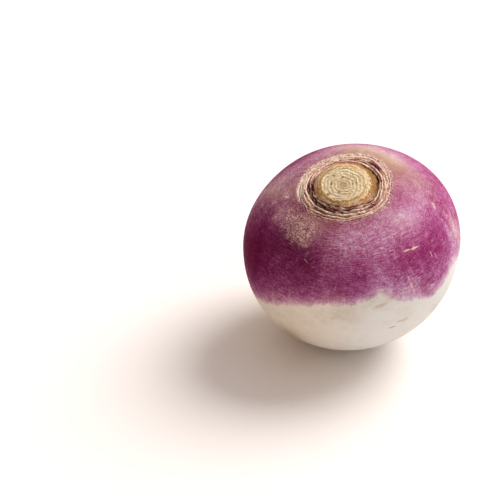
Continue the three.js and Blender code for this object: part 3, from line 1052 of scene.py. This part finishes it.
class TurnipStudio(PropertyGroup):
    key_strength: FloatProperty(
        name="Key", description="Strength of the key lamp", default=3.1, min=0, soft_max=10,
    )
    key_azimuth: arc("Key azimuth", "Side that the key lamp is on, from +X towards +Y", 35)
    key_elevation: arc("Key elevation", "Height of the key lamp over the horizon", 46)
    key_softness: arc("Key softness", "How wide the key lamp looks from the turnip", 42)
    sky_strength: FloatProperty(name="Sky", description="Strength of the soft light", default=0.72, min=0)
    sky_shade: FloatProperty(
        name="Shaded side", description="Strength of the sky on the shaded side, as a share",
        default=0.3, min=0, max=1, subtype="FACTOR",
    )
    sky: tint("Sky colour", "Colour of the bright side of the sky", "#fffbf6")
    shade: tint("Shade colour", "Colour of the shaded side of the sky", "#ffded0")
    paper: tint("Floor colour", "Colour of the floor", "#faf4f0")


class TURNIP_OT_root(Operator):
    """Build the root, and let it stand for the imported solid"""

    bl_idname = "turnip.root"
    bl_label = "Root"

    def execute(self, context):
        skin, crown = context.scene.turnip_skin, context.scene.turnip_crown
        rows, fields = root_rows(crown)
        fields |= skin_fields(rows, fields["around"][..., 2], skin.soil_line / MM)
        mesh = closed_mesh("turnip_root", rows)
        for name, values in fields.items():
            write_field(mesh, name, values)
        root = bpy.data.objects.new("turnip_root", mesh)
        context.scene.collection.objects.link(root)
        write_map(mesh, rows)
        mesh.materials.append(root_skin(skin, crown))
        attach(root, "root")
        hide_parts("turnip")
        return {"FINISHED"}


class TURNIP_OT_studio(Operator):
    """Set the camera, the lamps, the pale sky and the floor"""

    bl_idname = "turnip.studio"
    bl_label = "Studio"

    def execute(self, context):
        scene, studio = context.scene, context.scene.turnip_studio
        camera = bpy.data.objects.new("camera", bpy.data.cameras.new("camera"))
        camera.data.lens = CAMERA_LENS
        camera.location = Vector(CAMERA_PLACE) * MM
        camera.rotation_euler = (CAMERA_TILT, 0, 0)
        camera.data.clip_start = 10 * MM
        scene.collection.objects.link(camera)
        scene.camera = camera

        key = bpy.data.objects.new("key", bpy.data.lights.new("key", "SUN"))
        key.data.energy = studio.key_strength
        key.data.angle = studio.key_softness
        key.rotation_euler = (90 * DEG - studio.key_elevation, 0, 90 * DEG + studio.key_azimuth)
        scene.collection.objects.link(key)

        world = bpy.data.worlds.new("sky")
        world.use_nodes = True
        tree = world.node_tree
        background = tree.nodes["Background"]
        inputs = {0: add(tree, "ShaderNodeTexCoord", output="Generated"), 1: SHADED_SIDE}
        towards = add(tree, "ShaderNodeVectorMath", inputs, operation="DOT_PRODUCT", output="Value")
        inputs = {"Value": towards, "From Min": SHADE_FADE[0], "From Max": SHADE_FADE[1]}
        shaded = add(tree, "ShaderNodeMapRange", inputs, interpolation_type="SMOOTHSTEP")
        # The sky shows as evenly bright, whatever light it gives.
        shown = add(tree, "ShaderNodeLightPath", output="Is Camera Ray")
        hidden = add(tree, "ShaderNodeMath", {0: 1.0, 1: shown}, operation="SUBTRACT")
        shaded = add(tree, "ShaderNodeMath", {0: shaded, 1: hidden}, operation="MULTIPLY")
        inputs = {0: shaded, 6: (*studio.sky, 1), 7: (*studio.shade, 1)}
        colour = add(tree, "ShaderNodeMix", inputs, data_type="RGBA", output=2)
        full = studio.sky_strength
        inputs = {"Value": shaded, "To Min": full, "To Max": full * studio.sky_shade}
        strength = add(tree, "ShaderNodeMapRange", inputs)
        tree.links.new(colour, background.inputs["Color"])
        tree.links.new(strength, background.inputs["Strength"])
        scene.world = world

        mesh = bpy.data.meshes.new("floor")
        corners = [(x * FLOOR_REACH, y * FLOOR_REACH, 0) for x, y in ((-1, -1), (1, -1), (1, 1), (-1, 1))]
        mesh.from_pydata(corners, [], [(0, 1, 2, 3)])
        floor = bpy.data.objects.new("floor", mesh)
        # Matt paper takes soft, even shadows and has no gloss.
        paper = new_material("matt_white_paper")
        shader = paper.node_tree.nodes["Principled BSDF"]
        shader.inputs["Base Color"].default_value = (*studio.paper, 1)
        shader.inputs["Roughness"].default_value = 1
        mesh.materials.append(paper)
        scene.collection.objects.link(floor)
        scene.view_settings.view_transform = "Standard"
        return {"FINISHED"}


class TURNIP_PT_panel(Panel):
    bl_label = "Turnip"
    bl_idname = "TURNIP_PT_panel"
    bl_space_type = "VIEW_3D"
    bl_region_type = "UI"
    bl_category = "Turnip"

    def draw(self, context):
        for name in SETTINGS:
            settings = getattr(context.scene, name)
            for each in settings.bl_rna.properties:
                if each.identifier not in ("rna_type", "name"):
                    self.layout.prop(settings, each.identifier)
        for operator in OPERATORS:
            self.layout.operator(operator.bl_idname)


OPERATORS = (TURNIP_OT_studio, TURNIP_OT_root)
SETTINGS = {"turnip_studio": TurnipStudio, "turnip_skin": TurnipSkin, "turnip_crown": TurnipCrown}
CLASSES = (*SETTINGS.values(), *OPERATORS, TURNIP_PT_panel)


def register():
    for each in CLASSES:
        bpy.utils.register_class(each)
    for name, group in SETTINGS.items():
        setattr(bpy.types.Scene, name, PointerProperty(type=group))


def unregister():
    for name in SETTINGS:
        delattr(bpy.types.Scene, name)
    for each in reversed(CLASSES):
        bpy.utils.unregister_class(each)


def main():
    register()
    bpy.ops.turnip.studio()
    bpy.ops.turnip.root()


if __name__ == "__main__":
    main()
